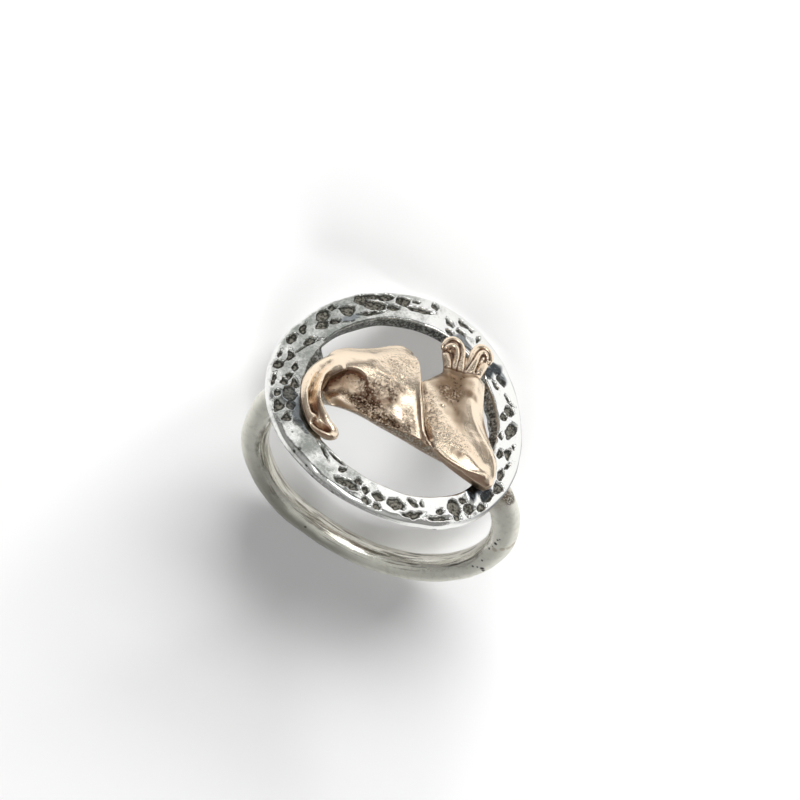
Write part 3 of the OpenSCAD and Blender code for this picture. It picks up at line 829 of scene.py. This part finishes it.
def fused(skins, voxel):
    """One even mesh over overlapping skins, as points and faces."""
    points, faces = [], []
    for skin_points, skin_faces in skins:
        faces += [tuple(i + len(points) for i in f) for f in skin_faces]
        points += skin_points.tolist()
    rough = bpy.data.meshes.new("rough")
    rough.from_pydata(points, [], faces)
    holder = bpy.data.objects.new("rough", rough)
    bpy.context.scene.collection.objects.link(holder)
    remesh = holder.modifiers.new("even", "REMESH")
    remesh.mode = "VOXEL"
    remesh.voxel_size = voxel
    even = holder.evaluated_get(bpy.context.evaluated_depsgraph_get()).to_mesh()
    even_points = np.empty(len(even.vertices) * 3)
    even.vertices.foreach_get("co", even_points)
    even_faces = [tuple(p.vertices) for p in even.polygons]
    bpy.data.objects.remove(holder)
    bpy.data.meshes.remove(rough)
    return even_points.reshape(-1, 3), np.array(even_faces)


def averaged(values, faces, passes):
    """Values at the points, each pass averaged with the neighbours along the faces' edges."""
    a = faces.ravel()
    b = np.roll(faces, -1, 1).ravel()
    near = np.bincount(a, minlength=len(values))
    for _ in range(passes):
        total = np.stack([np.bincount(a, values[b, k], len(values)) for k in range(values.shape[1])], -1)
        values = 0.5 * values + 0.5 * total / near[:, None]
    return values


def point_normals(points, faces):
    """Each point's outward normal, from the four-sided faces round it."""
    corner = points[faces]
    face_normal = np.cross(corner[:, 2] - corner[:, 0], corner[:, 3] - corner[:, 1])
    total = np.zeros_like(points)
    for k in range(4):
        for axis in range(3):
            total[:, axis] += np.bincount(faces[:, k], face_normal[:, axis], len(points))
    return total / np.linalg.norm(total, axis=1)[:, None]


def beside(points, line, half):
    """1 on the smooth line through the given points, falling off over that half width."""
    return np.exp(-((away_from(points[:, :2], smooth_rows(line, 5)) / half) ** 2))


def within(patches, x, y, low, high):
    """How strongly each point lies in oval patches of x, y, long and short size, lean and strength."""
    ragged = 0.2 * waves(6, 8, 0.8, 2.4, x, y)
    total = np.zeros_like(x)
    for *oval, strength in patches:
        reach = np.hypot(*in_oval(x, y, *oval)) + ragged
        total = 1 - (1 - total) * (1 - strength * (1 - eased(reach, low, high)))
    return total


def in_recess(x, y):
    """1 in the recess, which has a sharp rim and fades out towards the head."""
    towards_head = HEAD_WAY[0] * (x - RECESS_FULL[0]) + HEAD_WAY[1] * (y - RECESS_FULL[1])
    rim = 1 - eased(np.hypot(*in_oval(x, y, *RECESS)), 0.92, 1.02)
    side = eased(x - np.interp(y, *zip(*RECESS_SIDE)), 0.0, 0.12)
    return rim * (1 - eased(towards_head, 0.2, 1.9)) * side


skins = [relief(BODY), relief(HEAD), relief(TAIL)] + [strand(rows) for rows in HORNS]
points, faces = fused(skins, FINEST)
points = averaged(points, faces, 4)
below_horns = 1 - eased(points[:, 1], *HORNS_FROM)
points = points + below_horns[:, None] * (averaged(points, faces, 5) - points)
root = np.exp(-((away_from(points[:, :2], TAIL_ROOT) / ROOT_HALF) ** 2))
points = points + root[:, None] * (averaged(points, faces, 80) - points)
x, y = points[:, 0], points[:, 1]
# What is worked into the surface from above, in millimetres
upward = eased(point_normals(points, faces)[:, 2], 0.1, 0.6)
lift = np.zeros(len(points))
for line_height, half, line in LINES:
    lift += line_height * beside(points, line, half)
for dab_height, half, dab_x, dab_y in DABS:
    lift += dab_height * np.exp(-(((x - dab_x) ** 2 + (y - dab_y) ** 2) / half**2))
recess = in_recess(x, y)
lift -= RECESS_DEPTH * recess
crumbled = within(CRUMBLED, x, y, 0.3, 1.2)
crease = 1 - np.abs(waves(31, 18, 0.4, 1.0, x, y))
crumbs = waves(32, 30, 0.22, 0.6, *points.T)
lift -= crumbled * (CREASE_DEPTH * np.clip(crease, 0, 1) ** 5 - CRUMB_HEIGHT * crumbs)
lift += UNEVEN * waves(33, 20, 0.3, 0.8, *points.T)
inked = np.max([strength * beside(points, line, SEAM_HALF) for strength, line in SEAMS], 0) * upward
points[:, 2] += lift * upward * below_horns - SEAM_DEPTH * inked
points = averaged(points, faces, 1)
# How far a point lies under the widely averaged shape, how much it faces the side, for painted shade,
# and the lower edge, for a line of painted shade
shape = averaged(points, faces, 40)
normals = point_normals(points, faces)
hollow = ((shape - points) * normals).sum(1) * (0.55 + 0.45 * below_horns)
# Painted shade on the steep sides, most where they face towards -y
side_shade = (0.6 + 0.4 * eased(-normals[:, 1], 0.0, 0.5)) * (1 - eased(normals[:, 2], 0.05, 0.55))
# Painted shade along the lower lip, where the surface turns down towards -y
lip_shade = np.exp(-(((normals[:, 2] - 0.5) / 0.22) ** 2)) * eased(-normals[:, 1], 0.35, 0.6)
animal = metal_piece(
    "horned_animal",
    points,
    faces,
    {
        "hollow": hollow,
        # Browned patches and the recess, darkened as patina and as painted shade
        "patina_and_shade": np.maximum(within(PATINA_AND_SHADE, x, y, 0.3, 1.3), 0.75 * recess * upward),
        "crumbled": crumbled,
        "side_shade": side_shade,
        "lip_shade": lip_shade,
        "inked": inked,
    },
)

ROSE = (0.98, 0.82, 0.64)
ROSE_GLINT = (0.99, 0.83, 0.65)
HOLLOW_BROWN_AND_SHADE = (0.28, 0.19, 0.12)
CRUMB_BROWN = (0.07, 0.037, 0.025)
VEIN_BROWN = (0.08, 0.04, 0.025)
LIP_SHADE_RED = (0.20, 0.08, 0.045)
SEAM_BROWN = (0.10, 0.045, 0.03)
ROSE_GRAIN = 0.04 * MM
rose, s = new_material("rose_metal")
place = s.place()
hollow, patina_and_shade, crumbled = (s.mark(m) for m in ("hollow", "patina_and_shade", "crumbled"))
side_shade, lip_shade, inked = (s.mark(m) for m in ("side_shade", "lip_shade", "inked"))
cloud = s.noise(place, 0.8, 4.0)
crumb = s.noise(place, 4.5, 4.0, 0.6)
grain = s.noise(place, 14.0, 3.0)
# Brown patina in the hollows and patches, with painted shade from the steep sides and the shaded patches
brown_and_shade = s.step(hollow * 5.0 + patina_and_shade * 1.1 + side_shade + (cloud - 0.5) * 0.5, 0.0, 1.0)
# The darkest browning, in hollows and crumbs, also takes some of the patches' painted shade
brown = s.step(hollow * 9.0 + patina_and_shade * 0.5 + crumbled * 0.25 + (crumb - 0.5) * 2.5, 0.68, 1.0)
speckle = s.step(s.noise(place, 7.5, 2.0), 0.40, 0.34) * s.step(crumbled, 0.1, 0.5)
vein = abs(s.noise(place, 1.8, 5.0, 0.6) - 0.5)
vein = (1 - s.step(vein, 0.005, 0.03)) * s.step(crumbled, 0.3, 0.8)
glint = s.step(s.noise(place, 6.0, 2.0), 0.52, 0.6) * s.step(crumbled, 0.1, 0.6)
colour = s.tint(brown_and_shade, ROSE, HOLLOW_BROWN_AND_SHADE)
colour = s.tint(brown * 0.9, colour, CRUMB_BROWN)
colour = s.tint(glint * 0.9, colour, ROSE_GLINT)
colour = s.tint((vein * 0.85) | (speckle * 0.75), colour, VEIN_BROWN)
# Painted shade along the lower lip
colour = s.tint(lip_shade * 0.8, colour, LIP_SHADE_RED)
colour = s.tint(s.step(inked, 0.25, 0.8) * 0.85, colour, SEAM_BROWN)
roughness = 0.22 + brown_and_shade * 0.18 + brown * 0.1 + crumbled * 0.1 + (grain - 0.5) * 0.1
height = crumb * (0.3 + brown_and_shade * 1.2 + crumbled * 2.5) + grain * (0.3 + crumbled) - (vein | speckle) * 1.5
show_metal(s, colour, roughness, height, ROSE_GRAIN)
animal.data.materials.append(rose)
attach(animal, "root")
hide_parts("horned_figure")

# The floor is a plain white table, lit by a low soft box beyond the picture's top and a higher one below
# the picture. The metal shows neither: it mirrors a third one near the camera, and a pale room.
TABLE_SIZE = 4.0
TABLE_WHITE = (0.9, 0.9, 0.9, 1.0)
TABLE_ROUGHNESS = 0.7
LAMP_AWAY = 1.5
# The room's colour as the camera sees it, as the table is lit by it, and low and high in the metal
ROOM_SEEN = (0.93, 0.93, 0.93)
ROOM_LIGHT = (0.11, 0.11, 0.11)
ROOM_LOW = (0.26, 0.26, 0.255)
ROOM_HIGH = (0.50, 0.51, 0.50)


def lamp(name, way, wide, high, power, in_metal):
    """A soft box in that direction from the ring, in metres and watts, for the metal or the table."""
    data = bpy.data.lights.new(name, "AREA")
    data.shape = "RECTANGLE"
    data.size, data.size_y = wide, high
    data.energy = power
    made = bpy.data.objects.new(name, data)
    bpy.context.scene.collection.objects.link(made)
    made.location = np.array(way) / np.linalg.norm(way) * LAMP_AWAY
    made.rotation_mode = "QUATERNION"
    made.rotation_quaternion = made.location.to_track_quat("Z", "Y")
    made.visible_glossy = in_metal
    made.visible_diffuse = not in_metal


bpy.ops.mesh.primitive_plane_add(size=TABLE_SIZE)
floor = bpy.context.object
floor.name = "floor"
white, s = new_material("white_table")
show(s.node("ShaderNodeBsdfPrincipled", {}, {"Base Color": TABLE_WHITE, "Roughness": TABLE_ROUGHNESS}))
floor.data.materials.append(white)
lamp("overhead", (0.08, -0.58, 0.81), wide=0.9, high=0.9, power=6.4, in_metal=True)
lamp("front", (0.0, -0.93, 0.37), wide=1.2, high=0.25, power=53.0, in_metal=False)
lamp("back", (-0.32, 0.56, 0.77), wide=0.6, high=0.6, power=8.0, in_metal=False)
world = bpy.data.worlds.new("room")
world.use_nodes = True
world.node_tree.nodes.clear()
s = Socket(world.node_tree)
way_up = s.node("ShaderNodeSeparateXYZ", {}, {0: s.node("ShaderNodeTexCoord", {}, {}, "Generated")}, "Z")
walls = s.tint(s.step(way_up, 0.35, 0.95), ROOM_LOW, ROOM_HIGH)
in_metal = s.node("ShaderNodeLightPath", {}, {}, "Is Glossy Ray")
seen = s.node("ShaderNodeLightPath", {}, {}, "Is Camera Ray")
colour = s.tint(seen, s.tint(in_metal, ROOM_LIGHT, walls), ROOM_SEEN)
room = s.node("ShaderNodeBackground", {}, {"Color": colour})
world_output = world.node_tree.nodes.new("ShaderNodeOutputWorld")
world.node_tree.links.new(room.output, world_output.inputs["Surface"])
bpy.context.scene.world = world
bpy.context.scene.view_settings.view_transform = "Standard"

# The camera looks down at the ring from the photograph's angle. Its place and its picture's right, down
# and ahead are in the ring's own frame, and its focal length is in pixels of the photograph.
EYE = (-6.22, -86.14, 106.11)
RIGHT = (0.8658, 0.3643, 0.3431)
DOWN = (0.4985, -0.6874, -0.5281)
AHEAD = (0.0434, 0.6283, -0.7768)
FOCAL_PIXELS = 1842.1
FRAME_PIXELS = 800
SENSOR_WIDTH = 36.0
start = laid(np.zeros(3))
right, down, ahead = ((laid(way) - start) / MM for way in (RIGHT, DOWN, AHEAD))
camera = bpy.data.objects.new("camera", bpy.data.cameras.new("camera"))
bpy.context.scene.collection.objects.link(camera)
camera.data.sensor_width = SENSOR_WIDTH
camera.data.lens = SENSOR_WIDTH * FOCAL_PIXELS / FRAME_PIXELS
camera.data.clip_start = MM
turned = Matrix([right, -down, -ahead]).transposed().to_4x4()
turned.translation = laid(EYE)
camera.matrix_world = turned
bpy.context.scene.camera = camera
